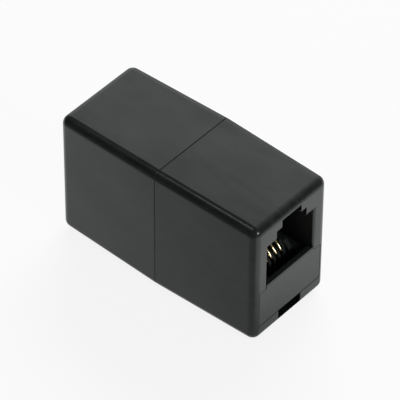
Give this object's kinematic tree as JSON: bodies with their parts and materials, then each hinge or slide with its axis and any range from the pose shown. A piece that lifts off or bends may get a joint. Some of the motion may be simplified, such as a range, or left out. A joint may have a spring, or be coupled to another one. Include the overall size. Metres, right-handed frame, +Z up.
{
  "type": "telephone inline coupler",
  "caption": "Black moulded coupler with a modular telephone socket at each end, which joins two telephone line cords end to end.",
  "frame": {"origin": "under the middle of the seam, at the lowest line of the casing", "axes": "+X along the coupler to the front socket, +Y across its width, +Z up"},
  "size_m": [0.036, 0.016, 0.0218],
  "materials": {
    "casing": "moulded ABS, fine satin texture",
    "contact_block": "moulded, fine satin texture",
    "wire_clamp": "moulded, plain",
    "contact_wire": "gold plated spring wire",
    "splice": "tinned crimp sleeve",
    "lead_black": "extruded insulation",
    "lead_red": "extruded insulation",
    "lead_green": "extruded insulation",
    "lead_yellow": "extruded insulation"
  },
  "bodies": {
    "root": {"front_casing_half": "casing", "front_contact_block": "contact_block", "front_wire_clamp": "wire_clamp", "front_contact_1": "contact_wire", "front_splice_1": "splice", "front_contact_2": "contact_wire", "front_splice_2": "splice", "front_contact_3": "contact_wire", "front_splice_3": "splice", "front_contact_4": "contact_wire", "front_splice_4": "splice", "rear_casing_half": "casing", "rear_contact_block": "contact_block", "rear_wire_clamp": "wire_clamp", "rear_contact_1": "contact_wire", "rear_splice_1": "splice", "rear_contact_2": "contact_wire", "rear_splice_2": "splice", "rear_contact_3": "contact_wire", "rear_splice_3": "splice", "rear_contact_4": "contact_wire", "rear_splice_4": "splice", "lead_black": "lead_black", "lead_red": "lead_red", "lead_green": "lead_green", "lead_yellow": "lead_yellow"}
  },
  "joints": []
}
